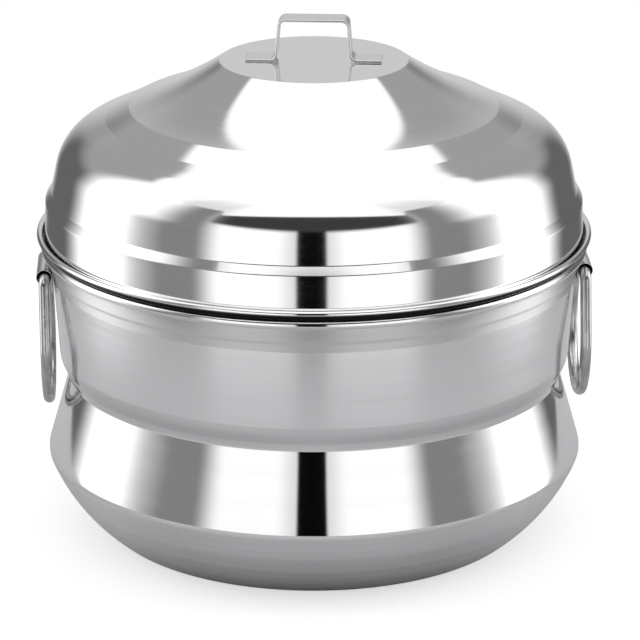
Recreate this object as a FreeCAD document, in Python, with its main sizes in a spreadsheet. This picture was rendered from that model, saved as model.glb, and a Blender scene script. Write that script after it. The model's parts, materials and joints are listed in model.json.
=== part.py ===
import FreeCAD, Part

import math
import os

import Sketcher

from FreeCAD import Placement, Rotation, Vector

doc = FreeCAD.newDocument("IdliCooker")

# Driving dimensions in millimetres and degrees
sizes = {
    # Sheet, straps and fits
    "sheet": 0.8,  # wall of pot, lid and plates
    "seat_gap": 0.2,  # between a resting piece and what carries it
    "least_run": 0.2,  # flat sheet left between two bends
    # Pot, as steps of the outer skin from the base up
    "pot_radius": 133.4,  # straight band under the rim
    "band_rise": 9.5,
    "ledge_in": 1.1,
    "ledge_rise": 1.6,
    "ledge_bend": 1.5,
    "wall_taper": 3.0,
    "wall_rise": 46.6,
    "foot_bend": 8.0,
    "waist_in": 4.5,
    "waist_rise": 9.6,
    "waist_bend": 2.5,
    "flare_out": 11.6,
    "flare_rise": 40.4,
    "belly_bend": 6.0,
    "belly_in": 9.6,
    "belly_rise": 23.6,
    "bowl_bend": 90.0,
    "base_in": 20.3,
    "base_rise": 16.6,
    "base_bend": 6.0,
    "pot_bead": 2.6,  # outer radius of the rolled rim
    "pot_curl": 105.0,  # how far below level the roll closes
    # Lid, as steps of the outer skin from the rolled rim up
    "lid_overhang": 2.5,  # lid wall beyond the pot's band
    "gutter_slot": 0.8,
    "gutter_bend": 0.3,
    "gutter_depth": 2.7,
    "lid_bead": 1.5,
    "lid_curl": 80.0,
    "lid_draft": 1.0,
    "lid_band_rise": 17.4,
    "step_in": 2.9,
    "step_rise": 4.2,
    "step_bend": 1.6,
    "side_in": 5.7,
    "side_rise": 26.4,
    "dome_bend": 26.0,
    "dome_in": 22.4,
    "dome_rise": 10.1,
    "hoop_bend": 3.0,
    "hoop_in": 11.5,
    "hoop_rise": 6.1,
    "sweep_in": 23.0,
    "sweep_rise": 8.1,
    "sweep_bend": 190.0,
    "crown_in": 22.45,
    "crown_rise": 15.0,
    "crown_bend": 1.6,
    # Lid handle, a bent strip
    "grip_strip": 1.2,
    "grip_width": 14.0,
    "grip_span": 35.2,  # outside of the arch
    "grip_height": 21.4,
    "grip_reach": 68.2,  # foot tip to foot tip
    "grip_splay": 1.6,
    "grip_bend": 4.0,
    "lid_turn": -5.6,  # as the lid happens to sit on the pot
    # Lugs and ring handles
    "lug_drop": 13.9,  # hinge axis below the rim's centre line
    "lug_length": 33.0,
    "lug_strip": 0.45,
    "lug_tail": 9.0,
    "lug_gap": 0.05,
    "ring_wire": 5.7,
    "ring_play": 0.65,
    "ring_sag": 0.3,  # wire's axis below the bore's, as it hangs in the lug
    "ring_shift": 0.25,  # and nearer to the wall
    "ring_radius": 30.5,  # of the round, on the wire's centre line
    "ring_bend": 4.5,
    "ring_leg": 25.8,
    "ring_slack": 0.5,  # straight wire beyond each end of the lug
    "right_ring_lean": -0.3,  # outwards, as each ring happens to hang
    "left_ring_lean": -0.6,
    # Idli plates
    "cup_depth": 17.0,
    "cup_web": 12.0,  # middle cup to the ring of cups
    "vent": 1.25,  # radius of the steam holes
    "vent_circle": 9.0,
    "plate_lip": 3.0,
    "lower_lap": 1.7,  # lower plate's edge over the waist
    "lower_cup_edge": 16.7,  # from a cup's mouth to the plate's edge
    "upper_play": 0.4,  # upper plate inside the rim band
    "upper_cup_edge": 9.2,
    # Straps that lift the plates
    "lifter_strip": 1.0,
    "lifter_width": 10.0,
    "lifter_bend": 3.0,
    "lifter_splay": 0.4,
    "lower_lifter_span": 30.0,
    "lower_lifter_height": 24.0,
    "lower_lifter_reach": 48.0,
    "upper_lifter_span": 18.0,
    "upper_lifter_height": 15.0,
    "upper_lifter_reach": 34.0,
    "upper_lifter_inset": 20.2,  # from the plate's edge
}
ventsPerCup = 4
lowerCups = 4
upperCups = 6
lowerCupStart = 45  # degrees from the right ring handle
upperCupStart = 30
upperLifters = {"right": 0, "left": 180}

sheet = doc.addObject("Spreadsheet::Sheet", "Sizes")
for row, (alias, number) in enumerate(sizes.items(), 1):
    sheet.set(f"A{row}", alias.replace("_", " "))
    sheet.set(f"B{row}", str(number))
    sheet.setAlias(f"B{row}", alias)
doc.recompute()

# Places that follow from the sizes: radii and heights of the corners of each skin
places = doc.addObject("App::VarSet", "Places")


def derive(name, formula):
    places.addProperty("App::PropertyFloat", name)
    places.setExpression(name, formula)


def number(path):
    sign = -1 if path.startswith("-") else 1
    holder, name = path.lstrip("-").split(".")
    found = sheet.get(name) if holder == "Sizes" else getattr(places, name)
    return sign * float(found)


def slope(run, across="in"):
    return f"atan(Sizes.{run}_rise / Sizes.{run}_{across})"


def deriveBend(name, bend, runs):
    """A bend between two sloping runs, each given with the bend at its other end and that one's turn."""
    rooms = []
    for run, (other, turn) in runs.items():
        length = f"sqrt(Sizes.{run}_in ^ 2 + Sizes.{run}_rise ^ 2)"
        rooms.append(f"{length} - Sizes.{other} * tan(({turn}) / 2)")
    lower, upper = (slope(run) for run in runs)
    room = f"(min({rooms[0]}; {rooms[1]}) - Sizes.least_run) / tan(abs({upper} - {lower}) / 2)"
    derive(name, f"min(Sizes.{bend}; {room})")


# Pot corners, from the centre of the base up
derive("bowlHeight", "Sizes.base_rise")
derive("bellyHeight", "bowlHeight + Sizes.belly_rise")
derive("waistHeight", "bellyHeight + Sizes.flare_rise")
derive("footHeight", "waistHeight + Sizes.waist_rise")
derive("ledgeHeight", "footHeight + Sizes.wall_rise")
derive("bandHeight", "ledgeHeight + Sizes.ledge_rise")
derive("rimHeight", "bandHeight + Sizes.band_rise")
derive("ledgeRadius", "Sizes.pot_radius - Sizes.ledge_in")
derive("footRadius", "ledgeRadius - Sizes.wall_taper")
derive("waistRadius", "footRadius - Sizes.waist_in")
derive("bellyRadius", "waistRadius + Sizes.flare_out")
derive("bowlRadius", "bellyRadius - Sizes.belly_in")
derive("baseRadius", "bowlRadius - Sizes.base_in")
derive("level", "0")
derive("potCurlRadius", "Sizes.pot_bead - Sizes.sheet")
derive("potCurlSweep", "180 + Sizes.pot_curl")
derive("potCurlCentre", "Sizes.pot_radius + potCurlRadius")

# Lid corners: the gutter's rounded underside rests on the shoulder of the pot's rolled rim
derive("lidRadius", "Sizes.pot_radius + Sizes.lid_overhang")
derive("gutterSide", "lidRadius + Sizes.gutter_bend - potCurlCentre")
derive("gutterReach", "Sizes.pot_bead + Sizes.seat_gap + Sizes.gutter_bend + Sizes.sheet")
derive("gutterFloor", "rimHeight + sqrt(gutterReach ^ 2 - gutterSide ^ 2) - Sizes.gutter_bend")
derive("riserRadius", "lidRadius + Sizes.gutter_slot")
derive("lidRimHeight", "gutterFloor + Sizes.gutter_depth")
derive("lidCurlSweep", "180 + Sizes.lid_curl")
derive("stepLowRadius", "lidRadius - Sizes.lid_draft")
derive("stepLowHeight", "lidRimHeight + Sizes.lid_band_rise")
derive("stepHighRadius", "stepLowRadius - Sizes.step_in")
derive("stepHighHeight", "stepLowHeight + Sizes.step_rise")
derive("domeRadius", "stepHighRadius - Sizes.side_in")
derive("domeHeight", "stepHighHeight + Sizes.side_rise")
derive("hoopLowRadius", "domeRadius - Sizes.dome_in")
derive("hoopLowHeight", "domeHeight + Sizes.dome_rise")
derive("hoopHighRadius", "hoopLowRadius - Sizes.hoop_in")
derive("hoopHighHeight", "hoopLowHeight + Sizes.hoop_rise")
derive("sweepRadius", "hoopHighRadius - Sizes.sweep_in")
derive("sweepHeight", "hoopHighHeight + Sizes.sweep_rise")
derive("crownRadius", "sweepRadius - Sizes.crown_in")
derive("crownHeight", "sweepHeight + Sizes.crown_rise")

# A wide bend is limited by the flat runs beside it, less what their other bends take
bellyTurn = f"180 deg - {slope('belly')} - {slope('flare', 'out')}"
hoopTurn = f"abs({slope('sweep')} - {slope('hoop')})"
bowlRuns = {"base": ("base_bend", slope("base")), "belly": ("belly_bend", bellyTurn)}
sweepRuns = {"crown": ("crown_bend", slope("crown")), "sweep": ("hoop_bend", hoopTurn)}
deriveBend("bowlBend", "bowl_bend", bowlRuns)
deriveBend("sweepBend", "sweep_bend", sweepRuns)

# Lug and ring: the knuckle lies against the tapered wall, and the wire turns inside it
derive("lugHeight", "rimHeight - Sizes.lug_drop")
derive("knuckleHeight", "lugHeight + Sizes.ring_sag")
derive("wallAtLug", "ledgeRadius - Sizes.wall_taper * (ledgeHeight - knuckleHeight) / Sizes.wall_rise")
derive("wireRadius", "Sizes.ring_wire / 2")
derive("boreRadius", "wireRadius + Sizes.ring_play")
derive("knuckleRadius", "boreRadius + Sizes.lug_strip")
derive("barHalf", "Sizes.lug_length / 2 + Sizes.ring_slack")
derive("bendReach", "Sizes.ring_radius - Sizes.ring_bend")
derive("ringCentre", "Sizes.ring_bend + sqrt(bendReach ^ 2 + Sizes.ring_leg ^ 2 - barHalf ^ 2)")
derive("knuckleAcross", "wallAtLug + knuckleRadius + Sizes.lug_gap")
derive("hingeRadius", "knuckleAcross - Sizes.ring_shift")

# Idli plates: the height at which each edge meets the sloping inner face that carries it
derive("lowerPlateRadius", "waistRadius - Sizes.sheet + Sizes.lower_lap")
derive("waistSkin", "Sizes.sheet * sqrt(1 + (Sizes.waist_in / Sizes.waist_rise) ^ 2)")
derive("lowerTouch", "lowerPlateRadius + waistSkin - waistRadius")
derive("waistSlope", "Sizes.waist_rise / Sizes.waist_in")
derive("lowerPlateHeight", "waistHeight + lowerTouch * waistSlope + Sizes.seat_gap")
derive("upperPlateRadius", "Sizes.pot_radius - Sizes.sheet - Sizes.upper_play")
derive("ledgeSkin", "Sizes.sheet * sqrt(1 + (Sizes.ledge_in / Sizes.ledge_rise) ^ 2)")
derive("upperTouch", "upperPlateRadius + ledgeSkin - ledgeRadius")
derive("ledgeSlope", "Sizes.ledge_rise / Sizes.ledge_in")
derive("upperPlateHeight", "ledgeHeight + upperTouch * ledgeSlope + Sizes.seat_gap")
derive("lowerPlateTop", "lowerPlateHeight + Sizes.sheet")
derive("upperPlateTop", "upperPlateHeight + Sizes.sheet")

# Cups: the upper plate holds three across, and the lower plate's are pressed with the same tool
derive("cupMouth", "(upperPlateRadius - Sizes.upper_cup_edge - Sizes.cup_web) / 3")
derive("cupBall", "(cupMouth ^ 2 + Sizes.cup_depth ^ 2) / (2 * Sizes.cup_depth)")
derive("cupOuterBall", "cupBall + Sizes.sheet")
derive("lowerCupCircle", "lowerPlateRadius - Sizes.lower_cup_edge - cupMouth")
derive("upperCupCircle", "2 * cupMouth + Sizes.cup_web")
derive("upperLifterCircle", "upperPlateRadius - Sizes.upper_lifter_inset")

# Straps: half lengths of foot and arch, and the heights of foot and top above what carries them
carriers = {"grip": "crownHeight", "lower_lifter": "lowerPlateTop", "upper_lifter": "upperPlateTop"}
for strap, carrier in carriers.items():
    kind = strap.split("_")[-1]
    derive(strap + "Tip", f"Sizes.{strap}_reach / 2")
    derive(strap + "Arch", f"Sizes.{strap}_span / 2")
    derive(strap + "Leg", f"{strap}Arch + Sizes.{kind}_splay")
    derive(strap + "Foot", f"{carrier} + Sizes.{kind}_strip")
    derive(strap + "Top", f"{carrier} + Sizes.{strap}_height")
doc.recompute()


def bindDatum(sketch, formula, *words):
    """Adds a dimension to a sketch and ties it to the sheet."""
    index = sketch.addConstraint(Sketcher.Constraint(*words, number(formula)))
    sketch.setExpression(f"Constraints[{index}]", formula)


def endAt(sketch, edge, point):
    """Which end of a sketch edge, 1 or 2, lies at a point."""
    return min((1, 2), key=lambda end: (sketch.getPoint(edge, end) - point).Length)


def joinSmoothly(sketch, first, second, point):
    ends = (endAt(sketch, first, point), endAt(sketch, second, point))
    sketch.addConstraint(Sketcher.Constraint("Tangent", first, ends[0], second, ends[1]))


def placePoint(sketch, edge, end, across, up):
    """Fixes a point by its distances from the sketch's origin, or on the upright axis."""
    if across == "axis":
        sketch.addConstraint(Sketcher.Constraint("PointOnObject", edge, end, -2))
    else:
        bindDatum(sketch, across, "DistanceX", -1, 1, edge, end)
    bindDatum(sketch, up, "DistanceY", -1, 1, edge, end)


def cornerPoint(across, up):
    return Vector(0 if across == "axis" else number(across), number(up), 0)


def addSkin(name, corners, curl=None):
    """Open sketch in the XZ plane: straight runs through the corners, each rounded by its own bend.

    A curl (radius, sweep) goes on from the last run, clockwise, as a rolled edge does.
    """
    sketch = doc.addObject("Sketcher::SketchObject", name)
    sketch.Placement = Placement(Vector(), Rotation(Vector(1, 0, 0), 90))
    points = [cornerPoint(across, up) for across, up, bend in corners]
    start = points[0]
    joins = []
    for before, point, after, corner in zip(points, points[1:], points[2:], corners[1:]):
        radius = number(corner[2])
        back = (before - point).normalize()
        ahead = (after - point).normalize()
        turn = math.pi - back.getAngle(ahead)
        enter = point + back * (radius * math.tan(turn / 2))
        leave = point + ahead * (radius * math.tan(turn / 2))
        middle = point + (back + ahead).normalize() * (radius / math.cos(turn / 2) - radius)
        sketch.addGeometry(Part.LineSegment(start, enter), False)
        sketch.addGeometry(Part.Arc(enter, middle, leave), False)
        joins += [enter, leave]
        start = leave
    line = sketch.addGeometry(Part.LineSegment(start, points[-1]), False)
    for first, point in enumerate(joins):
        joinSmoothly(sketch, first, first + 1, point)
    placePoint(sketch, 0, endAt(sketch, 0, points[0]), *corners[0][:2])
    placePoint(sketch, line, endAt(sketch, line, points[-1]), *corners[-1][:2])
    for index, (across, up, bend) in enumerate(corners[1:-1]):
        mark = sketch.addGeometry(Part.Point(points[index + 1]), True)
        for run in (2 * index, 2 * index + 2):
            sketch.addConstraint(Sketcher.Constraint("PointOnObject", mark, 1, run))
        placePoint(sketch, mark, 1, across, up)
        bindDatum(sketch, bend, "Radius", 2 * index + 1)
    if curl:
        addCurl(sketch, line, points[-1], *curl)
    return sketch


def addCurl(sketch, line, point, bend, sweep):
    """Clockwise roll of the edge, from the top of an upright run."""
    radius = number(bend)
    centre = point + Vector(radius, 0, 0)
    angle = math.pi - math.radians(number(sweep))
    middle = (math.pi + angle) / 2
    spots = [centre + Vector(math.cos(a), math.sin(a), 0) * radius for a in (middle, angle)]
    arc = sketch.addGeometry(Part.Arc(point, *spots), False)
    joinSmoothly(sketch, line, arc, point)
    bindDatum(sketch, bend, "Radius", arc)
    index = sketch.addConstraint(Sketcher.Constraint("Angle", arc, math.pi - angle))
    sketch.setExpression(f"Constraints[{index}]", sweep)


def addSheet(name, skin, thickness, side):
    """Thickens a skin into the flat section of a bent sheet, left of its path (1) or right (-1)."""
    section = doc.addObject("Part::Offset2D", name)
    section.Source = skin
    section.Mode = "Skin"
    section.Join = "Arc"
    section.Fill = True
    section.Value = side * number(thickness)
    section.setExpression("Value", f"{side} * {thickness}")
    return section


def addLathe(label, section):
    """Turns a section about the upright axis."""
    lathe = doc.addObject("Part::Revolution", label)
    lathe.Source = section
    lathe.Axis = Vector(0, 0, 1)
    lathe.Angle = 360
    lathe.Solid = True
    return lathe


def addPot():
    corners = [
        ("axis", "Places.level", None),
        ("Places.baseRadius", "Places.level", "Sizes.base_bend"),
        ("Places.bowlRadius", "Places.bowlHeight", "Places.bowlBend"),
        ("Places.bellyRadius", "Places.bellyHeight", "Sizes.belly_bend"),
        ("Places.waistRadius", "Places.waistHeight", "Sizes.waist_bend"),
        ("Places.footRadius", "Places.footHeight", "Sizes.foot_bend"),
        ("Places.ledgeRadius", "Places.ledgeHeight", "Sizes.ledge_bend"),
        ("Sizes.pot_radius", "Places.bandHeight", "Sizes.ledge_bend"),
        ("Sizes.pot_radius", "Places.rimHeight", None),
    ]
    skin = addSkin("PotSkin", corners, ("Places.potCurlRadius", "Places.potCurlSweep"))
    return addLathe("pot_body", addSheet("PotSheet", skin, "Sizes.sheet", 1))


def addLid():
    corners = [
        ("axis", "Places.crownHeight", None),
        ("Places.crownRadius", "Places.crownHeight", "Sizes.crown_bend"),
        ("Places.sweepRadius", "Places.sweepHeight", "Places.sweepBend"),
        ("Places.hoopHighRadius", "Places.hoopHighHeight", "Sizes.hoop_bend"),
        ("Places.hoopLowRadius", "Places.hoopLowHeight", "Sizes.hoop_bend"),
        ("Places.domeRadius", "Places.domeHeight", "Sizes.dome_bend"),
        ("Places.stepHighRadius", "Places.stepHighHeight", "Sizes.step_bend"),
        ("Places.stepLowRadius", "Places.stepLowHeight", "Sizes.step_bend"),
        ("Places.lidRadius", "Places.gutterFloor", "Sizes.gutter_bend"),
        ("Places.riserRadius", "Places.gutterFloor", "Sizes.gutter_bend"),
        ("Places.riserRadius", "Places.lidRimHeight", None),
    ]
    skin = addSkin("LidSkin", corners, ("Sizes.lid_bead", "Places.lidCurlSweep"))
    return addLathe("lid", addSheet("LidSheet", skin, "Sizes.sheet", -1))


def addStrap(label, strap, kind):
    """Bent strip: two feet, two legs and a flat top, standing in the XZ plane."""
    half = [
        (f"Places.{strap}Tip", f"Places.{strap}Foot", None),
        (f"Places.{strap}Leg", f"Places.{strap}Foot", f"Sizes.{kind}_bend"),
        (f"Places.{strap}Arch", f"Places.{strap}Top", f"Sizes.{kind}_bend"),
    ]
    corners = [("-" + across, up, bend) for across, up, bend in half] + half[::-1]
    skin = addSkin(label.title().replace("_", "") + "Skin", corners)
    section = addSheet(skin.Name + "Strip", skin, f"Sizes.{kind}_strip", -1)
    strip = doc.addObject("Part::Extrusion", label)
    strip.Base = section
    strip.DirMode = "Custom"
    strip.Dir = Vector(0, 1, 0)
    strip.Symmetric = True
    strip.Solid = True
    strip.setExpression("LengthFwd", f"Sizes.{kind}_width")
    return strip


def turnTo(item, angle):
    """Turns an object about the upright axis by an angle tied to the sheet."""
    item.Placement = Placement(Vector(), Rotation(Vector(0, 0, 1), 1))
    item.setExpression("Placement.Rotation.Angle", angle)


def addBar(name, radius, side):
    """Cylinder on the bore's axis, as long as the lug."""
    bar = doc.addObject("Part::Cylinder", name)
    bar.setExpression("Radius", radius)
    bar.setExpression("Height", "Sizes.lug_length")
    bar.Placement = Placement(Vector(), Rotation(Vector(1, 0, 0), 90))
    bar.setExpression("Placement.Base.x", f"{side} * Places.knuckleAcross")
    bar.setExpression("Placement.Base.y", "Sizes.lug_length / 2")
    bar.setExpression("Placement.Base.z", "Places.knuckleHeight")
    return bar


def addLug(label, side):
    """Strip wrapped round the ring's bar, with a tail down the wall. side is 1 at +X, -1 at -X."""
    name = label.title().replace("_", "")
    knuckle = addBar(name + "Knuckle", "Places.knuckleRadius", side)
    bore = addBar(name + "Bore", "Places.boreRadius", side)
    tail = doc.addObject("Part::Box", name + "Tail")
    tail.setExpression("Length", "Sizes.lug_strip")
    tail.setExpression("Width", "Sizes.lug_length")
    tail.setExpression("Height", "Sizes.lug_tail")
    near = "Places.knuckleAcross - Places.knuckleRadius"
    far = f"-({near}) - Sizes.lug_strip"
    tail.setExpression("Placement.Base.x", near if side > 0 else far)
    tail.setExpression("Placement.Base.y", "-Sizes.lug_length / 2")
    tail.setExpression("Placement.Base.z", "Places.knuckleHeight - Sizes.lug_tail")
    strip = doc.addObject("Part::MultiFuse", name + "Strip")
    strip.Shapes = [knuckle, tail]
    lug = doc.addObject("Part::Cut", label)
    lug.Base = strip
    lug.Tool = bore
    return lug


def originPlane(body, role):
    return next(plane for plane in body.Origin.OriginFeatures if plane.Role == role)


def attachSketch(body, name, role):
    sketch = body.newObject("Sketcher::SketchObject", name)
    sketch.AttachmentSupport = [(originPlane(body, role), "")]
    sketch.MapMode = "FlatFace"
    return sketch


def addRingPath(body):
    """Closed centre line in the YZ plane: a straight bar, a bend and a leg at each end, and a round."""
    half = number("Places.barHalf")
    bend = number("Sizes.ring_bend")
    radius = number("Sizes.ring_radius")
    centre = Vector(0, -number("Places.ringCentre"), 0)
    path = attachSketch(body, body.Name + "Path", "YZ_Plane")
    bar = path.addGeometry(Part.LineSegment(Vector(-half, 0, 0), Vector(half, 0, 0)), False)
    feet = {}
    for sign in (1, -1):
        start = Vector(sign * half, 0, 0)
        middle = Vector(sign * half, -bend, 0)
        reach = middle - centre
        spread = math.degrees(math.acos((radius - bend) / reach.Length))
        outwards = Rotation(Vector(0, 0, -sign), spread).multVec(reach.normalize())
        shoulder = middle + outwards * bend
        foot = centre + outwards * radius
        bulge = middle + (outwards + Vector(0, 1, 0)).normalize() * bend
        arc = path.addGeometry(Part.Arc(start, bulge, shoulder), False)
        leg = path.addGeometry(Part.LineSegment(shoulder, foot), False)
        joinSmoothly(path, bar, arc, start)
        joinSmoothly(path, arc, leg, shoulder)
        bindDatum(path, "Sizes.ring_bend", "Radius", arc)
        end = endAt(path, bar, start)
        path.addConstraint(Sketcher.Constraint("PointOnObject", bar, end, -1))
        across = "Places.barHalf" if sign > 0 else "-Places.barHalf"
        bindDatum(path, across, "DistanceX", -1, 1, bar, end)
        feet[leg] = foot
    right, left = feet.values()
    rounding = path.addGeometry(Part.Arc(right, centre - Vector(0, radius, 0), left), False)
    for leg, foot in feet.items():
        joinSmoothly(path, leg, rounding, foot)
    bindDatum(path, "Sizes.ring_radius", "Radius", rounding)
    placePoint(path, rounding, 3, "axis", "-Places.ringCentre")
    return path


def addRing(place, side):
    """Closed wire ring swept round its centre line, with its bar on the hinge."""
    body = doc.addObject("PartDesign::Body", place + "_ring_handle")
    path = addRingPath(body)
    wire = attachSketch(body, body.Name + "Wire", "XZ_Plane")
    section = Part.Circle(Vector(), Vector(0, 0, 1), number("Places.wireRadius"))
    circle = wire.addGeometry(section, False)
    wire.addConstraint(Sketcher.Constraint("Coincident", circle, 3, -1, 1))
    bindDatum(wire, "Places.wireRadius", "Radius", circle)
    doc.recompute()
    pipe = body.newObject("PartDesign::AdditivePipe", body.Name + "Pipe")
    pipe.Profile = wire
    pipe.Spine = path
    body.Placement = Placement(Vector(), Rotation(Vector(0, -side, 0), 1))
    body.setExpression("Placement.Rotation.Angle", f"Sizes.{place}_ring_lean")
    body.setExpression("Placement.Base.x", f"{side} * Places.hingeRadius")
    body.setExpression("Placement.Base.z", "Places.lugHeight")
    return body


def addCylinder(name, radius, height, across=None, angle=None, base=None):
    """Upright cylinder, its foot at a polar place."""
    post = doc.addObject("Part::Cylinder", name)
    post.setExpression("Radius", radius)
    post.setExpression("Height", height)
    placeRound(post, across, angle, base)
    return post


def placeRound(item, across, angle, base):
    if across:
        item.setExpression("Placement.Base.x", f"({across}) * cos({angle} deg)")
        item.setExpression("Placement.Base.y", f"({across}) * sin({angle} deg)")
    item.setExpression("Placement.Base.z", base)


def addBall(name, radius, across, angle, top):
    """Part of a ball below the plate's top face, as deep as a cup."""
    ball = doc.addObject("Part::Sphere", name)
    ball.setExpression("Radius", radius)
    ball.Angle1 = -90
    ball.setExpression("Angle2", f"-asin((Places.cupBall - Sizes.cup_depth) / {radius})")
    placeRound(ball, across, angle, f"{top} + Places.cupBall - Sizes.cup_depth")
    return ball


def addVents(name, spot, top):
    """Steam holes of one cup: one in the middle and a ring of them."""
    across, angle = spot
    base = f"{top} - Sizes.cup_depth - 2 * Sizes.sheet"
    vents = [addCylinder(name, "Sizes.vent", "Sizes.cup_depth", across, angle, base)]
    for turn in range(ventsPerCup):
        vent = addCylinder(f"{name}N{turn}", "Sizes.vent", "Sizes.cup_depth", base=base)
        bearing = angle + 360 * (turn + 0.5) / ventsPerCup
        for axis, wave in (("x", "cos"), ("y", "sin")):
            middle = f"({across or 0}) * {wave}({angle} deg)"
            place = f"{middle} + Sizes.vent_circle * {wave}({bearing} deg)"
            vent.setExpression(f"Placement.Base.{axis}", place)
        vents.append(vent)
    return vents


def addPlate(label, radius, height, top, spots):
    """Pressed tray with a low lip, a cup at each spot and steam holes in each cup."""
    name = label.title().replace("_", "")
    blank = addCylinder(name + "Blank", radius, "Sizes.sheet + Sizes.plate_lip", base=height)
    hollow = addCylinder(name + "Hollow", f"{radius} - Sizes.sheet", "Sizes.plate_lip", base=top)
    tray = doc.addObject("Part::Cut", name + "Tray")
    tray.Base = blank
    tray.Tool = hollow
    solids = [tray]
    tools = []
    for index, (across, angle) in enumerate(spots):
        solids.append(addBall(f"{name}Cup{index}", "Places.cupOuterBall", across, angle, top))
        tools.append(addBall(f"{name}Bowl{index}", "Places.cupBall", across, angle, top))
        tools += addVents(f"{name}Vent{index}", (across, angle), top)
    pressed = doc.addObject("Part::MultiFuse", name + "Pressed")
    pressed.Shapes = solids
    space = doc.addObject("Part::MultiFuse", name + "Space")
    space.Shapes = tools
    plate = doc.addObject("Part::Cut", label)
    plate.Base = pressed
    plate.Tool = space
    return plate


def spread(across, copies, start):
    return [(across, start + 360 * copy / copies) for copy in range(copies)]


parts = [addPot(), addLid()]
grip = addStrap("lid_handle", "grip", "grip")
turnTo(grip, "Sizes.lid_turn")
parts.append(grip)
for place, side in (("right", 1), ("left", -1)):
    parts.append(addLug(place + "_lug", side))
    parts.append(addRing(place, side))
lowerSpots = spread("Places.lowerCupCircle", lowerCups, lowerCupStart)
upperSpots = spread("Places.upperCupCircle", upperCups, upperCupStart) + [(None, 0)]
parts.append(addPlate("lower_idli_plate", "Places.lowerPlateRadius", "Places.lowerPlateHeight",
                      "Places.lowerPlateTop", lowerSpots))
parts.append(addPlate("upper_idli_plate", "Places.upperPlateRadius", "Places.upperPlateHeight",
                      "Places.upperPlateTop", upperSpots))
parts.append(addStrap("lower_plate_lifter", "lower_lifter", "lifter"))
for place, angle in upperLifters.items():
    lifter = addStrap("upper_plate_lifter_" + place, "upper_lifter", "lifter")
    lifter.Placement = Placement(Vector(), Rotation(Vector(0, 0, 1), angle + 90))
    placeRound(lifter, "Places.upperLifterCircle", angle, "0")
    parts.append(lifter)
doc.recompute()

for item in doc.Objects:
    if "Invalid" in item.State or "Error" in item.State:
        raise RuntimeError(f"{item.Name} failed: {item.State}")
for part in parts:
    if part.Shape.isNull() or not part.Shape.isValid():
        raise RuntimeError(f"{part.Label} has no valid shape")

os.makedirs("parts", exist_ok=True)
for part in parts:
    part.Shape.exportStep(f"parts/{part.Label}.step")
    box = part.Shape.BoundBox
    heights = (round(box.ZMin, 2), round(box.ZMax, 2))
    print(part.Label, len(part.Shape.Solids), round(part.Shape.Volume), *heights)
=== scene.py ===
import json
import math

import bmesh
import bpy
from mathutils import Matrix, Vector

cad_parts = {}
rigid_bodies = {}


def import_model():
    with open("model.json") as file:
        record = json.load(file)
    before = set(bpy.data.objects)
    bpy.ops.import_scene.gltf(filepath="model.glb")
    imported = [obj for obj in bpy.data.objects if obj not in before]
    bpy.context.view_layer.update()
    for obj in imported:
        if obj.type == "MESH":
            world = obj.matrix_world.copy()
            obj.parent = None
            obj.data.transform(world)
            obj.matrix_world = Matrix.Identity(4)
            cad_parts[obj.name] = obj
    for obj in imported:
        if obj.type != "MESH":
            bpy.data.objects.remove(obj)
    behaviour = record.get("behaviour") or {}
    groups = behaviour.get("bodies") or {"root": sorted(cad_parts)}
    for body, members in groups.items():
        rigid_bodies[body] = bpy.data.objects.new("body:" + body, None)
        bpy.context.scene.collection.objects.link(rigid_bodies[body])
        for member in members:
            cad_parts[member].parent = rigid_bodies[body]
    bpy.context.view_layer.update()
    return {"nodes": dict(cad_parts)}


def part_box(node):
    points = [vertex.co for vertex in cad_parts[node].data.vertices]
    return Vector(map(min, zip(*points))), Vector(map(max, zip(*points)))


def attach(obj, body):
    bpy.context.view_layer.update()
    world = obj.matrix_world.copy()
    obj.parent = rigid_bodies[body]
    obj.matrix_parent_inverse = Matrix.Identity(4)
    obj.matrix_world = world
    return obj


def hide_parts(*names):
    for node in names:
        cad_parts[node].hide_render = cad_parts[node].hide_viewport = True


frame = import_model()
print("frame loaded:", len(frame["nodes"]), "nodes")


# Shader and geometry trees

class Flow:
    # A socket that can be added, multiplied and passed on, or an empty start in a tree.
    def __init__(self, tree, socket=None):
        self.tree = tree
        self.socket = socket

    def node(self, kind, settings=None, sockets=None, output=0):
        made = self.tree.nodes.new(kind)
        for name, value in (settings or {}).items():
            setattr(made, name, value)
        for key, value in (sockets or {}).items():
            if isinstance(value, Flow):
                self.tree.links.new(value.socket, made.inputs[key])
            else:
                made.inputs[key].default_value = value
        return Flow(self.tree, made.outputs[output] if len(made.outputs) else None)

    def math(self, operation, first, second=0.0):
        return self.node("ShaderNodeMath", {"operation": operation}, {0: first, 1: second})

    def __add__(self, other):
        return self.math("ADD", self, other)

    def __radd__(self, other):
        return self.math("ADD", other, self)

    def __sub__(self, other):
        return self.math("SUBTRACT", self, other)

    def __rsub__(self, other):
        return self.math("SUBTRACT", other, self)

    def __mul__(self, other):
        return self.math("MULTIPLY", self, other)

    def __rmul__(self, other):
        return self.math("MULTIPLY", other, self)

    def __truediv__(self, other):
        return self.math("DIVIDE", self, other)

    def __abs__(self):
        return self.math("ABSOLUTE", self)

    # 0 below the edge, 1 above it, with a soft change as wide as blur
    def above(self, edge, blur):
        ends = {"Value": self, "From Min": edge - blur / 2, "From Max": edge + blur / 2}
        return self.node("ShaderNodeMapRange", {"interpolation_type": "SMOOTHSTEP"}, ends)

    def between(self, low, high, blur):
        return self.above(low, blur) * (1 - self.above(high, blur))


# Camera, at the photograph's angle

camera = {
    "distance": 1.6426,  # from the pot's axis, level
    "height": 0.6632,
    "pitch": 18.79,
    "turn": -2.5,  # the pot stands turned a little to the camera
    "aside": 0.0030,
    "lens": 191.4,
}


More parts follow.
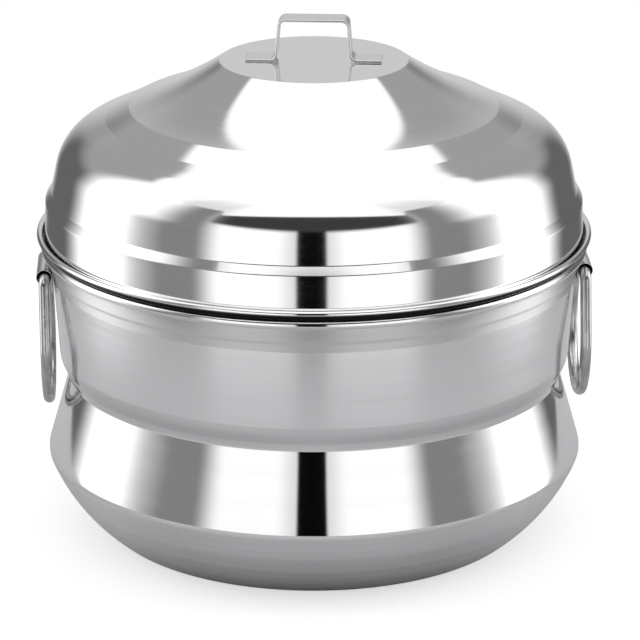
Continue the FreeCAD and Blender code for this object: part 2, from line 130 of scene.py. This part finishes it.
def makeCamera():
    data = bpy.data.cameras.new("photoCamera")
    data.lens = camera["lens"]
    data.sensor_width = 36
    data.clip_end = 50
    made = bpy.data.objects.new("photoCamera", data)
    bpy.context.collection.objects.link(made)
    turn = math.radians(camera["turn"])
    back = Vector((math.sin(turn), -math.cos(turn), 0))
    right = Vector((math.cos(turn), math.sin(turn), 0))
    made.location = back * camera["distance"] + right * camera["aside"] + Vector((0, 0, camera["height"]))
    made.rotation_euler = (math.radians(90 - camera["pitch"]), 0, turn)
    bpy.context.scene.camera = made


# Studio: a white tent with soft boxes, drawn on the world, and a pale floor

studio = {
    "slit": (-0.9, 6.3),  # middle and half width in degrees of the dark slit in front
    "halo": 10.0,
    "frontBox": 45.5,
    "boxBlur": 14.0,
    "sideBox": (77.0, 117.0),
    "sideBlur": (40.0, 30.0),
    "sideLow": 9.0,  # the side boxes' front edge moves back this far near the floor
    "rear": 163.5,
    "rearBlur": 19.0,
    "canopy": (17.0, 45.5),  # elevations of the dark band over the front boxes
    "canopySide": 47.5,
    "canopyRise": 3.5,
    "canopyArch": (2.5, 11.0),  # its upper edge is this much higher in the middle, and falls to the sides
    "white": 1.15,
    "sideWhite": 2.1,
    "gap": 0.24,
    "roofGap": 0.3,
    "roofBack": 4.6,  # the roof's white starts this much higher behind
    "rearShade": 0.13,  # near the floor, and well above it
    "rearHigh": 0.36,
    "backShade": 0.62,
    "dark": 0.045,
    "black": 0.002,
    "haloDip": 0.28,
}


def makeWorld():
    world = bpy.data.worlds.new("studioTent")
    bpy.context.scene.world = world
    world.use_nodes = True
    tree = world.node_tree
    tree.nodes.clear()
    start = Flow(tree)
    towards = start.node("ShaderNodeTexCoord", output="Generated")
    turned = start.node("ShaderNodeVectorRotate", {"rotation_type": "Z_AXIS"},
                        {"Vector": towards, "Angle": math.radians(-camera["turn"])})
    split = turned.node("ShaderNodeSeparateXYZ", sockets={"Vector": turned})
    across, depth, up = (Flow(tree, socket) for socket in split.socket.node.outputs)
    degree = math.degrees(1)
    side = start.math("ARCTAN2", across, 0 - depth) * degree
    bearing = abs(side)
    rise = start.math("ARCSINE", up) * degree
    middle, half = studio["slit"]
    off = abs(side - middle)
    slit = 1 - off.above(half, 1.6)
    dip = studio["haloDip"]
    halo = 1 - dip + dip * off.above(half + studio["halo"] / 2, studio["halo"])
    low, high = studio["sideBox"]
    blur = studio["boxBlur"]
    boxes = (1 - bearing.above(studio["frontBox"], blur)) * (1 - slit) * halo * studio["white"]
    nearFloor = (1 - rise.above(8, 10)) * studio["sideLow"]
    inner, outer = studio["sideBlur"]
    sides = (bearing - nearFloor).above(low, inner) * (1 - bearing.above(high, outer)) * studio["sideWhite"]
    climb = rise.above(18, 14) * (studio["rearHigh"] - studio["rearShade"])
    behind = bearing.above(studio["rear"], studio["rearBlur"])
    rear = bearing.above(high, outer) * (1 - behind) * (climb + studio["rearShade"])
    back = behind * studio["backShade"]
    between = bearing.between(studio["frontBox"], low, blur)
    gap = between * studio["gap"]
    foot, top = studio["canopy"]
    share = bearing / studio["canopySide"]
    brink = rise - share * share * studio["canopyRise"]
    inFront = 1 - bearing.above(studio["canopySide"], 4)
    covered = brink.above(foot, 7) * inFront
    front = (boxes + slit * studio["black"]) * (1 - covered) + covered * studio["dark"]
    walls = front + gap + sides + rear + back
    higher, fall = studio["canopyArch"]
    raised = inFront * (higher - share * share * fall) + bearing.above(110, 50) * studio["roofBack"]
    overhead = (rise - raised).above(top, 3)
    roof = studio["white"] * (1 - between * (1 - rise.above(62, 24)) * studio["roofGap"])
    light = walls * (1 - overhead) + overhead * roof
    seen = start.node("ShaderNodeLightPath", output="Is Camera Ray")
    shade = start.node("ShaderNodeMix", {"data_type": "FLOAT"}, {"Factor": seen, 2: light, 3: 1.0})
    shine = start.node("ShaderNodeBackground", sockets={"Color": (1, 1, 1, 1), "Strength": shade})
    start.node("ShaderNodeOutputWorld", sockets={"Surface": shine})


floorLook = {"radius": 0.46, "colour": (0.60, 0.60, 0.61, 1), "lift": 0.60}


def makeFloor():
    mesh = bpy.data.meshes.new("floor")
    shape = bmesh.new()
    bmesh.ops.create_circle(shape, cap_ends=True, segments=128, radius=floorLook["radius"])
    shape.to_mesh(mesh)
    floor = bpy.data.objects.new("floor", mesh)
    bpy.context.collection.objects.link(floor)
    material = bpy.data.materials.new("paleFloor")
    material.use_nodes = True
    tree = material.node_tree
    tree.nodes.clear()
    start = Flow(tree)
    matt = start.node("ShaderNodeBsdfDiffuse", sockets={"Color": floorLook["colour"]})
    seen = start.node("ShaderNodeLightPath", output="Is Camera Ray")
    glow = start.node("ShaderNodeEmission", sockets={"Color": (1, 1, 1, 1), "Strength": seen * floorLook["lift"]})
    both = start.node("ShaderNodeAddShader", sockets={0: matt, 1: glow})
    start.node("ShaderNodeOutputMaterial", sockets={"Surface": both})
    mesh.materials.append(material)


makeCamera()
makeWorld()
makeFloor()
bpy.context.scene.view_settings.view_transform = "Standard"
print("camera, studio and floor made")


# Steel finishes

def startMaterial(name):
    material = bpy.data.materials.new(name)
    material.use_nodes = True
    material.node_tree.nodes.clear()
    return material, Flow(material.node_tree)


def splitPlace(start):
    place = start.node("ShaderNodeTexCoord", output="Object")
    parts = start.node("ShaderNodeSeparateXYZ", sockets={"Vector": place})
    x, y, z = (Flow(start.tree, socket) for socket in parts.socket.node.outputs)
    return place, x, y, z


def noise(start, vector, scale, detail=2.0, rough=0.5):
    sockets = {"Vector": vector, "Scale": scale, "Detail": detail, "Roughness": rough}
    return start.node("ShaderNodeTexNoise", sockets=sockets)


def joinVector(start, x, y, z):
    return start.node("ShaderNodeCombineXYZ", sockets={0: x, 1: y, 2: z})


def finishSteel(start, look, roughness, height, colour):
    lines = start.node("ShaderNodeBump", sockets={"Height": height, "Strength": look["bump"], "Distance": 0.001})
    sockets = {
        "Base Color": colour,
        "Metallic": 1.0,
        "Roughness": roughness,
        "Anisotropic": look["grain"],
        "Anisotropic Rotation": 0.25,
        "Normal": lines,
    }
    steel = start.node("ShaderNodeBsdfPrincipled", sockets=sockets)
    start.node("ShaderNodeOutputMaterial", sockets={"Surface": steel})


def steelColour(start, look, mask):
    dark = tuple(look["colour"][i] * look["toned"] for i in range(3)) + (1,)
    light = tuple(look["colour"]) + (1,)
    return start.node("ShaderNodeMix", {"data_type": "RGBA"}, {"Factor": mask, 6: dark, 7: light}, output=2)


# Darkens a colour towards near black by a mask: painted shade in gaps, bores and under the bowl, and darker tone
# and wear on the pot
def darkenShadeAndTone(start, colour, mask):
    return start.node("ShaderNodeMix", {"data_type": "RGBA"},
                      {"Factor": mask, 6: colour, 7: (0.012, 0.012, 0.013, 1)}, output=2)


# Spin marks run round the axis: they change along the section, r + z on the pot and r - z on the lid.
def spinMarks(start, place, x, y, z, slope):
    radius = start.math("SQRT", x * x + y * y)
    along = radius + z * slope
    fine = noise(start, joinVector(start, x * 4, y * 4, along * 2600), 1.0, 3.0)
    broad = noise(start, joinVector(start, x * 3, y * 3, along * 260), 1.0, 2.0)
    sway = noise(start, place, 14.0, 1.0)
    return fine, broad, sway, radius


lidLook = {
    "colour": (0.93, 0.935, 0.94),
    "toned": 0.93,
    "grain": 0.35,
    "bump": 0.10,
    "waver": 0.9,
    "polish": 0.055,
    "marks": 0.03,
    "gapShadeRadius": 0.1362,  # the gutter outside the wall is rougher and painted near black as shade
    "gapShadeTop": 0.1536,
}


def makeLidSteel():
    material, start = startMaterial("mirrorLidSteel")
    place, x, y, z = splitPlace(start)
    fine, broad, sway, radius = spinMarks(start, place, x, y, z, -1)
    # Painted shade: the gutter outside the wall is darkened near black, and made rougher
    shadedGap = radius.above(lidLook["gapShadeRadius"], 0.0002) * (1 - z.above(lidLook["gapShadeTop"], 0.0006))
    roughness = lidLook["polish"] + broad * lidLook["marks"] + fine * 0.01 + shadedGap * 0.3
    height = fine * 0.003 + broad * 0.006 + sway * lidLook["waver"]
    colour = darkenShadeAndTone(start, steelColour(start, lidLook, broad), shadedGap)
    finishSteel(start, lidLook, roughness, height, colour)
    return material


potLook = {
    "colour": (0.90, 0.905, 0.91),
    "toned": 0.92,
    "grain": 0.85,
    "bump": 0.12,
    "waver": 0.8,
    "matt": 0.34,  # roughness of the bowl, flare, hem, wall, band and rim
    "mirror": 0.06,
    "hem": 0.13,
    "satin": 0.17,
    "band": 0.48,
    "rim": 0.09,
    "bowlTop": 0.0398,  # heights at which one finish meets the next
    "waist": 0.0845,
    "hemTop": 0.0935,
    "bandFoot": 0.1327,
    "rimFoot": 0.1472,
    "bandTone": 0.10,  # how much darker the band and the hem are in tone, and how far the bowl's underside is painted darker as shade
    "hemTone": 0.16,
    "bowlPaintedShade": 0.22,
    "rubbed": 0.09,
    # bounds of the painted shade on the rim bead's top, under the lid
    "gapShadeRadius": 0.1358,
    "gapShadeFoot": 0.1499,
}


def makePotSteel():
    material, start = startMaterial("potSteel")
    place, x, y, z = splitPlace(start)
    fine, broad, sway, radius = spinMarks(start, place, x, y, z, 1)
    bowl = 1 - z.above(potLook["bowlTop"], 0.0012)
    flare = z.between(potLook["bowlTop"], potLook["waist"], 0.0012)
    hem = z.between(potLook["waist"], potLook["hemTop"], 0.0012)
    wall = z.between(potLook["hemTop"], potLook["bandFoot"], 0.0012)
    band = z.between(potLook["bandFoot"], potLook["rimFoot"], 0.0008)
    rim = z.above(potLook["rimFoot"], 0.0008)
    # Painted shade: the top of the rim bead under the lid is darkened near black
    shadedGap = z.above(potLook["gapShadeFoot"], 0.0002) * (1 - radius.above(potLook["gapShadeRadius"], 0.0003))
    lower = bowl * potLook["matt"] + flare * potLook["mirror"] + hem * potLook["hem"]
    upper = wall * potLook["satin"] + band * potLook["band"] + rim * potLook["rim"]
    roughness = (lower + upper) * (0.85 + broad * 0.3) + fine * 0.012
    height = fine * 0.003 + broad * 0.005 + bowl * (broad * 0.03 + fine * 0.01) + sway * potLook["waver"]
    # Painted shade: the bowl darkens towards the bottom, standing in for the shaded floor it reflects; its rubbed
    # streaks are wear, and the band and hem are darker in tone
    depth = 1 - start.math("MINIMUM", z / potLook["bowlTop"], 1.0)
    rubbed = bowl * broad.above(0.52, 0.24) * potLook["rubbed"]
    lower = depth * depth * potLook["bowlPaintedShade"] + rubbed + hem * potLook["hemTone"]
    shade = shadedGap + band * potLook["bandTone"] + lower
    colour = darkenShadeAndTone(start, steelColour(start, potLook, broad), start.math("MINIMUM", shade, 1.0))
    finishSteel(start, potLook, roughness, height, colour)
    return material


lugLook = {
    "colour": (0.86, 0.865, 0.87),
    "toned": 0.85,
    "grain": 0.0,
    "bump": 0.10,
    "polish": 0.16,
    "bore": 0.00372,
}


# Lug steel: the inside of its roll is painted near black as shade in the bore, and made rougher
def makeLugSteel():
    material, start = startMaterial("lugSteel")
    place, x, y, z = splitPlace(start)
    across, height = lugShape["centre"]
    off = abs(x) - across
    rise = z - height
    away = start.math("SQRT", off * off + rise * rise)
    # Painted shade: the roll's inner face, within the bore, is darkened near black
    boreShade = 1 - away.above(lugLook["bore"], 0.0002)
    streak = noise(start, joinVector(start, x * 900, y * 40, z * 900), 1.0, 3.0)
    worn = noise(start, place, 90.0, 3.0)
    roughness = lugLook["polish"] + streak * 0.08 + worn * 0.08 + boreShade * 0.3
    colour = darkenShadeAndTone(start, steelColour(start, lugLook, worn), boreShade)
    finishSteel(start, lugLook, roughness, streak * 0.03 + worn * 0.04, colour)
    return material


# Strip and wire are drawn through dies, so their fine marks run along X or Z.
def makeDrawnSteel(name, look):
    material, start = startMaterial(name)
    place, *parts = splitPlace(start)
    drawn = [part * stretch for part, stretch in zip(parts, look["stretch"])]
    streak = noise(start, joinVector(start, *drawn), 1.0, 3.0)
    worn = noise(start, place, 60.0, 3.0)
    roughness = look["polish"] + streak * 0.08 + worn * 0.05
    colour = steelColour(start, look, streak.above(0.5, look["spread"]))
    finishSteel(start, look, roughness, streak * 0.03 + worn * 0.02, colour)
    return material


stripLook = {
    "colour": (0.88, 0.885, 0.89),
    "toned": 0.86,
    "grain": 0.0,
    "bump": 0.08,
    "polish": 0.12,
    "spread": 0.8,  # how softly the marks change
    "stretch": (30, 1400, 60),
}

wireLook = {
    "colour": (0.64, 0.645, 0.655),
    "toned": 0.66,
    "grain": 0.0,
    "bump": 0.10,
    "polish": 0.14,
    "spread": 0.55,
    "stretch": (420, 420, 8),
}

plateLook = {
    "colour": (0.84, 0.845, 0.85),
    "toned": 0.88,
    "grain": 0.2,
    "bump": 0.1,
    "polish": 0.18,
    "spread": 0.8,
    "stretch": (300, 300, 40),
}

lugShape = {
    "strip": 0.00045,
    "edge": 0.00015,
    "width": 0.033,
    "centre": (0.136139, 0.1343),  # the wire hangs low in the bore and near the wall
    "outer": 0.003945,
    "tail": 0.0090,
    "end": 12,  # degrees short of the tail at which the roll ends
}

ringShape = {
    "wire": 0.0057,
    "hinge": (0.135889, 0.1340),  # out from the axis, up
    "bar": 0.0170,  # half the straight run in the lug
    "bend": 0.0045,
    "leg": 0.0258,
    "radius": 0.0305,
    "leans": {"right_ring": -0.3, "left_ring": -0.6},  # degrees outwards, as each happens to hang
}

steels = {
    "lid": makeLidSteel(),
    "pot": makePotSteel(),
    "strip": makeDrawnSteel("stripSteel", stripLook),
    "lug": makeLugSteel(),
    "wire": makeDrawnSteel("wireSteel", wireLook),
    "plate": makeDrawnSteel("plateSteel", plateLook),
}
print("steels made:", len(steels))


# Bent sheet: a skin through corners (across, up), each rounded by its own bend

def roundCorners(corners, step=0.0008, turnStep=6.0):
    points = [Vector(corners[0][:2])]
    for before, corner, after in zip(corners, corners[1:], corners[2:]):
        point = Vector(corner[:2])
        back = (Vector(before[:2]) - point).normalized()
        ahead = (Vector(after[:2]) - point).normalized()
        turn = math.pi - back.angle(ahead)
        bend = corner[2]
        reach = bend * math.tan(turn / 2)
        centre = point + (back + ahead).normalized() * (bend / math.cos(turn / 2))
        enter = point + back * reach - centre
        leave = point + ahead * reach - centre
        steps = max(4, round(math.degrees(turn) / turnStep), round(bend * turn / 0.003))
        side = math.copysign(1, enter.cross(leave))
        for index in range(steps + 1):
            angle = side * turn * index / steps
            spun = Vector((enter.x * math.cos(angle) - enter.y * math.sin(angle),
                           enter.x * math.sin(angle) + enter.y * math.cos(angle)))
            points.append(centre + spun)
    points.append(Vector(corners[-1][:2]))
    return points


# Rolled edge: goes on clockwise from the top of an upright run
def addCurl(points, bend, sweep, steps=26):
    start = points[-1]
    centre = start + Vector((bend, 0))
    for index in range(1, steps + 1):
        angle = math.pi - math.radians(sweep) * index / steps
        points.append(centre + Vector((math.cos(angle), math.sin(angle))) * bend)
    return points


# The other face of the sheet. side is 1 to the left of the skin's path, -1 to the right.
def offsetSkin(points, thickness, side):
    moved = []
    for index, point in enumerate(points):
        before = points[max(index - 1, 0)]
        after = points[min(index + 1, len(points) - 1)]
        run = Vector((0, 0))
        if (point - before).length > 1e-7:
            run += (point - before).normalized()
        if (after - point).length > 1e-7:
            run += (after - point).normalized()
        run = run.normalized()
        moved.append(point + Vector((-run.y, run.x)) * thickness * side)
    return moved


def splitRuns(points, longest):
    filled = [points[0]]
    for start, end in zip(points, points[1:]):
        parts = max(1, math.ceil((end - start).length / longest))
        filled += [start.lerp(end, index / parts) for index in range(1, parts + 1)]
    return filled


def addObject(name, mesh):
    made = bpy.data.objects.new(name, mesh)
    bpy.context.collection.objects.link(made)
    return made


def addInput(tree, name, kind, value=None):
    socket = tree.interface.new_socket(name, in_out="INPUT", socket_type=kind)
    if value is not None:
        socket.default_value = value


def setInputs(modifier, values):
    for item in modifier.node_group.interface.items_tree:
        if item.item_type == "SOCKET" and item.in_out == "INPUT" and item.name in values:
            modifier[item.identifier] = values[item.name]


# Lathe: the section's curve is carried round a circle and its poles are closed
def makeLatheTree():
    tree = bpy.data.node_groups.new("latheSheet", "GeometryNodeTree")
    addInput(tree, "Section", "NodeSocketGeometry")
    addInput(tree, "Turns", "NodeSocketInt", 360)
    addInput(tree, "Circle", "NodeSocketFloat", 0.1)
    addInput(tree, "Steel", "NodeSocketMaterial")
    tree.interface.new_socket("Geometry", in_out="OUTPUT", socket_type="NodeSocketGeometry")
    start = Flow(tree)
    given = start.node("NodeGroupInput").socket.node.outputs
    section, turns, circle, steel = (Flow(tree, given[index]) for index in range(4))
    curve = start.node("GeometryNodeMeshToCurve", sockets={"Mesh": section})
    path = start.node("GeometryNodeCurvePrimitiveCircle", sockets={"Resolution": turns, "Radius": circle})
    turned = start.node("GeometryNodeCurveToMesh", sockets={"Curve": path, "Profile Curve": curve})
    closed = start.node("GeometryNodeMergeByDistance", sockets={"Geometry": turned, "Distance": 1e-6})
    smooth = start.node("GeometryNodeSetShadeSmooth", sockets={"Geometry": closed})
    real = start.node("GeometryNodeRealizeInstances", sockets={"Geometry": smooth})
    dressed = start.node("GeometryNodeSetMaterial", sockets={"Geometry": real, "Material": steel})
    start.node("NodeGroupOutput", sockets={0: dressed})
    return tree


# Wire: a round section carried along a closed path
def makeWireTree():
    tree = bpy.data.node_groups.new("wireAlongPath", "GeometryNodeTree")
    addInput(tree, "Path", "NodeSocketGeometry")
    addInput(tree, "Radius", "NodeSocketFloat", 0.0027)
    addInput(tree, "Sides", "NodeSocketInt", 32)
    addInput(tree, "Steel", "NodeSocketMaterial")
    tree.interface.new_socket("Geometry", in_out="OUTPUT", socket_type="NodeSocketGeometry")
    start = Flow(tree)
    given = start.node("NodeGroupInput").socket.node.outputs
    path, radius, sides, steel = (Flow(tree, given[index]) for index in range(4))
    curve = start.node("GeometryNodeMeshToCurve", sockets={"Mesh": path})
    section = start.node("GeometryNodeCurvePrimitiveCircle", sockets={"Resolution": sides, "Radius": radius})
    swept = start.node("GeometryNodeCurveToMesh", sockets={"Curve": curve, "Profile Curve": section})
    smooth = start.node("GeometryNodeSetShadeSmooth", sockets={"Geometry": swept})
    real = start.node("GeometryNodeRealizeInstances", sockets={"Geometry": smooth})
    dressed = start.node("GeometryNodeSetMaterial", sockets={"Geometry": real, "Material": steel})
    start.node("NodeGroupOutput", sockets={0: dressed})
    return tree


# Runs a tree on a line of points and keeps its result as a plain mesh
def runTree(name, tree, points, closed, values):
    edges = [(index, index + 1) for index in range(len(points) - 1)]
    if closed:
        edges.append((len(points) - 1, 0))
    line = bpy.data.meshes.new(name + "Line")
    line.from_pydata(points, edges, [])
    carrier = addObject(name + "Line", line)
    modifier = carrier.modifiers.new("tree", "NODES")
    modifier.node_group = tree
    setInputs(modifier, values)
    evaluated = carrier.evaluated_get(bpy.context.evaluated_depsgraph_get())
    mesh = bpy.data.meshes.new_from_object(evaluated)
    bpy.data.objects.remove(carrier)
    pointOutwards(mesh)
    mesh.name = name
    return addObject(name, mesh)


def pointOutwards(mesh):
    shape = bmesh.new()
    shape.from_mesh(mesh)
    bmesh.ops.recalc_face_normals(shape, faces=shape.faces)
    shape.to_mesh(mesh)
    shape.free()


latheTree = makeLatheTree()
wireTree = makeWireTree()


def makeLathe(name, section, turns, steel):
    circle = 0.1
    points = [(point.x - circle, -point.y, 0) for point in section]
    return runTree(name, latheTree, points, False, {"Turns": turns, "Circle": circle, "Steel": steel})


def makeShell(name, look, corners, side, steel):
    skin = addCurl(roundCorners(corners), look["curl"], look["sweep"])
    inside = offsetSkin(skin, look["sheet"], side)
    skin[0].x = inside[0].x = 0
    outer = splitRuns(skin, 0.006)
    inner = splitRuns(inside, 0.02)
    return makeLathe(name, outer + inner[::-1], look["turns"], steel)


# Pot, from its base up. Steps are those of the real vessel, in metres.

potShape = {
    "sheet": 0.0008,
    "turns": 384,
    "radius": 0.1334,
    "ledgeIn": 0.0011,
    "taper": 0.0030,
    "waistIn": 0.0045,
    "flareOut": 0.0116,
    "bellyIn": 0.0096,
    "baseIn": 0.0203,
    "rises": (0.0166, 0.0236, 0.0404, 0.0096, 0.0466, 0.0016, 0.0095),
    "bends": (0.006, 0.090, 0.006, 0.0025, 0.008, 0.0015, 0.0015),
    "curl": 0.0018,
    "sweep": 285,
}


def potCorners():
    look = potShape
    ledge = look["radius"] - look["ledgeIn"]
    foot = ledge - look["taper"]
    waist = foot - look["waistIn"]
    belly = waist + look["flareOut"]
    bowl = belly - look["bellyIn"]
    across = (bowl - look["baseIn"], bowl, belly, waist, foot, ledge, look["radius"])
    corners = [(0, 0, 0)]
    height = 0
    for place, bend, rise in zip(across, look["bends"], look["rises"]):
        corners.append((place, height, bend))
        height += rise
    corners.append((look["radius"], height, 0))
    return corners


def makePot():
    pot = makeShell("pot_shell", potShape, potCorners(), 1, steels["pot"])
    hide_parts("pot_body")
    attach(pot, "pot")


# Lid, from its flat crown down to the rolled rim

lidShape = {
    "sheet": 0.0008,
    "turns": 384,
    "wall": 0.1359,
    "ins": (0.0010, 0.0029, 0.0057, 0.0224, 0.0115, 0.0230, 0.02245),
    "rises": (0.0174, 0.0042, 0.0264, 0.0101, 0.0061, 0.0081, 0.0150),
    "bends": (0.0016, 0.0016, 0.026, 0.003, 0.003, 0.190, 0.0016),
    "slot": 0.0008,
    "gutterBend": 0.0003,
    "gutterDepth": 0.0027,
    "curl": 0.001475,
    "sweep": 260,
}


def lidCorners(rimHeight):
    look = lidShape
    floor = rimHeight - look["gutterDepth"]
    riser = look["wall"] + look["slot"]
    corners = [(riser, rimHeight, 0), (riser, floor, look["gutterBend"]), (look["wall"], floor, look["gutterBend"])]
    place, height = look["wall"], rimHeight
    for inwards, rise, bend in zip(look["ins"], look["rises"], look["bends"]):
        place -= inwards
        height += rise
        corners.append((place, height, bend))
    corners.append((0, height, 0))
    return corners[::-1]


def makeLid():
    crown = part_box("lid")[1][2]
    rimHeight = crown - sum(lidShape["rises"])
    lid = makeShell("lid_shell", lidShape, lidCorners(rimHeight), -1, steels["lid"])
    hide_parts("lid")
    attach(lid, "pot")


makePot()
makeLid()
print("pot and lid turned")


# Bent strips: a section with rounded edges carried along a skin in the XZ plane

def edgedSection(width, thickness, edge, columns):
    half = width / 2 - edge
    rounding = [(edge * math.sin(angle), edge - edge * math.cos(angle))
                for angle in (math.pi / 2 * step / 4 for step in range(5))]
    face = [(half * (2 * step / columns - 1), 0) for step in range(1, columns)]
    upper = [(-half - out, down) for out, down in rounding[::-1]] + face
    upper += [(half + out, down) for out, down in rounding]
    lower = [(across, thickness - down) for across, down in upper[::-1]]
    return upper + lower


def dentDepth(x, y, dents):
    depth = 0
    for place, aside, size, deep in dents:
        away = math.hypot(abs(x) - place, y - aside) / size
        if away < 1:
            depth += deep * (0.5 + 0.5 * math.cos(math.pi * away))
    return depth


def makeStrip(name, skin, look, side, steel, dents=(), columns=12, longest=0.003):
    rows = splitRuns(skin, longest)
    lefts = [moved - point for moved, point in zip(offsetSkin(rows, 1, 1), rows)]
    section = edgedSection(look["width"], look["strip"], look["edge"], columns)
    shape = bmesh.new()
    grid = []
    for point, left in zip(rows, lefts):
        ring = []
        for across, down in section:
            depth = down
            if down < look["strip"] / 2:
                depth += dentDepth(point.x, across, dents)
            spot = point + left * side * depth
            ring.append(shape.verts.new((spot.x, across, spot.y)))
        grid.append(ring)
    for first, second in zip(grid, grid[1:]):
        for index, corner in enumerate(first):
            shape.faces.new((first[index - 1], corner, second[index], second[index - 1]))
    for face in shape.faces:
        face.smooth = True
    for ring in (grid[0], grid[-1]):
        shape.faces.new(ring)
    bmesh.ops.triangulate(shape, faces=[face for face in shape.faces if len(face.verts) > 4])
    bmesh.ops.recalc_face_normals(shape, faces=shape.faces)
    mesh = bpy.data.meshes.new(name)
    shape.to_mesh(mesh)
    shape.free()
    mesh.materials.append(steel)
    return mesh


# Lid handle: a bent strip with its feet welded to the crown

gripShape = {
    "strip": 0.0012,
    "edge": 0.0004,
    "width": 0.014,
    "span": 0.0352,
    "reach": 0.0682,
    "splay": 0.0016,
    "bend": 0.004,
    "turn": -5.6,
    "dents": ((0.0297, 0.0035, 0.0013, 0.0003), (0.0297, -0.0032, 0.0013, 0.0003)),
}


def archSkin(look, foot, top):
    half = look["span"] / 2
    under = foot + look["strip"]
    corners = [
        (-look["reach"] / 2, under, 0),
        (-half - look["splay"], under, look["bend"] - look["strip"]),
        (-half, top, look["bend"]),
        (half, top, look["bend"]),
        (half + look["splay"], under, look["bend"] - look["strip"]),
        (look["reach"] / 2, under, 0),
    ]
    return roundCorners(corners, turnStep=5)


def turnMesh(mesh, degrees):
    turn = math.radians(degrees)
    for vertex in mesh.vertices:
        across, depth, up = vertex.co
        vertex.co.x = across * math.cos(turn) - depth * math.sin(turn)
        vertex.co.y = across * math.sin(turn) + depth * math.cos(turn)


def makeGrip():
    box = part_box("lid_handle")
    skin = archSkin(gripShape, box[0][2], box[1][2])
    mesh = makeStrip("lid_grip", skin, gripShape, -1, steels["strip"], gripShape["dents"], 40, 0.0004)
    turnMesh(mesh, gripShape["turn"])
    grip = addObject("lid_grip", mesh)
    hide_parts("lid_handle")
    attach(grip, "pot")


makeGrip()
print("lid handle bent")


# Ring handles: round wire, straight through the lug and bent into a round below it

def arcPoints(centre, radius, first, last, steps):
    angles = [math.radians(first + (last - first) * step / steps) for step in range(steps + 1)]
    return [(centre[0] + radius * math.sin(angle), centre[1] + radius * math.cos(angle)) for angle in angles]


# Angles run clockwise from straight up, seen with +Y to the right
def ringPath(lean, side):
    look = ringShape
    bend, radius, half = look["bend"], look["radius"], look["bar"]
    reach = math.hypot(radius - bend, look["leg"])
    drop = bend + math.sqrt(reach ** 2 - half ** 2)
    shoulder = math.degrees(math.asin(half / reach) + math.atan2(look["leg"], radius - bend))
    points = [(half * (step / 10 - 1), 0) for step in range(1, 20)]
    points += arcPoints((half, -bend), bend, 0, shoulder, 14)
    points += arcPoints((0, -drop), radius, shoulder, 360 - shoulder, 110)
    points += arcPoints((-half, -bend), bend, 360 - shoulder, 360, 14)
    out, height = look["hinge"]
    swing = math.radians(lean)
    return [(side * (out - up * math.sin(swing)), depth, height + up * math.cos(swing)) for depth, up in points]


def makeRing(name, side):
    path = ringPath(ringShape["leans"][name], side)
    values = {"Radius": ringShape["wire"] / 2, "Sides": 32, "Steel": steels["wire"]}
    ring = runTree(name + "_wire", wireTree, path, True, values)
    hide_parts(name + "_handle")
    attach(ring, name)


for name, side in (("right_ring", 1), ("left_ring", -1)):
    makeRing(name, side)
print("ring handles bent")


# Lugs: strip rolled round the wire, its tail welded down the wall

def makeLug(name, side):
    look = lugShape
    across, height = look["centre"]
    sweep = 360 - look["end"]
    roll = arcPoints((0, 0), look["outer"], 270, 270 + sweep, 48)
    skin = [Vector((-look["outer"], -look["tail"]))] + [Vector(point) for point in roll]
    mesh = makeStrip(name + "_strip", skin, look, -1, steels["lug"])
    for vertex in mesh.vertices:
        vertex.co.x = (vertex.co.x + across) * side
        vertex.co.z += height
    pointOutwards(mesh)
    lug = addObject(name + "_strip", mesh)
    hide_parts(name)
    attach(lug, "pot")


for name, side in (("right_lug", 1), ("left_lug", -1)):
    makeLug(name, side)
print("lugs rolled")


# What stays a solid of the frame takes a finish of its own

def dressNodes():
    for made in list(bpy.context.scene.objects):
        if made.type != "MESH" or not made.name.startswith(("lower_", "upper_")):
            continue
        steel = steels["plate"] if "plate" in made.name else steels["strip"]
        made.data.materials.clear()
        made.data.materials.append(steel)


dressNodes()
print("plates and lifters dressed")
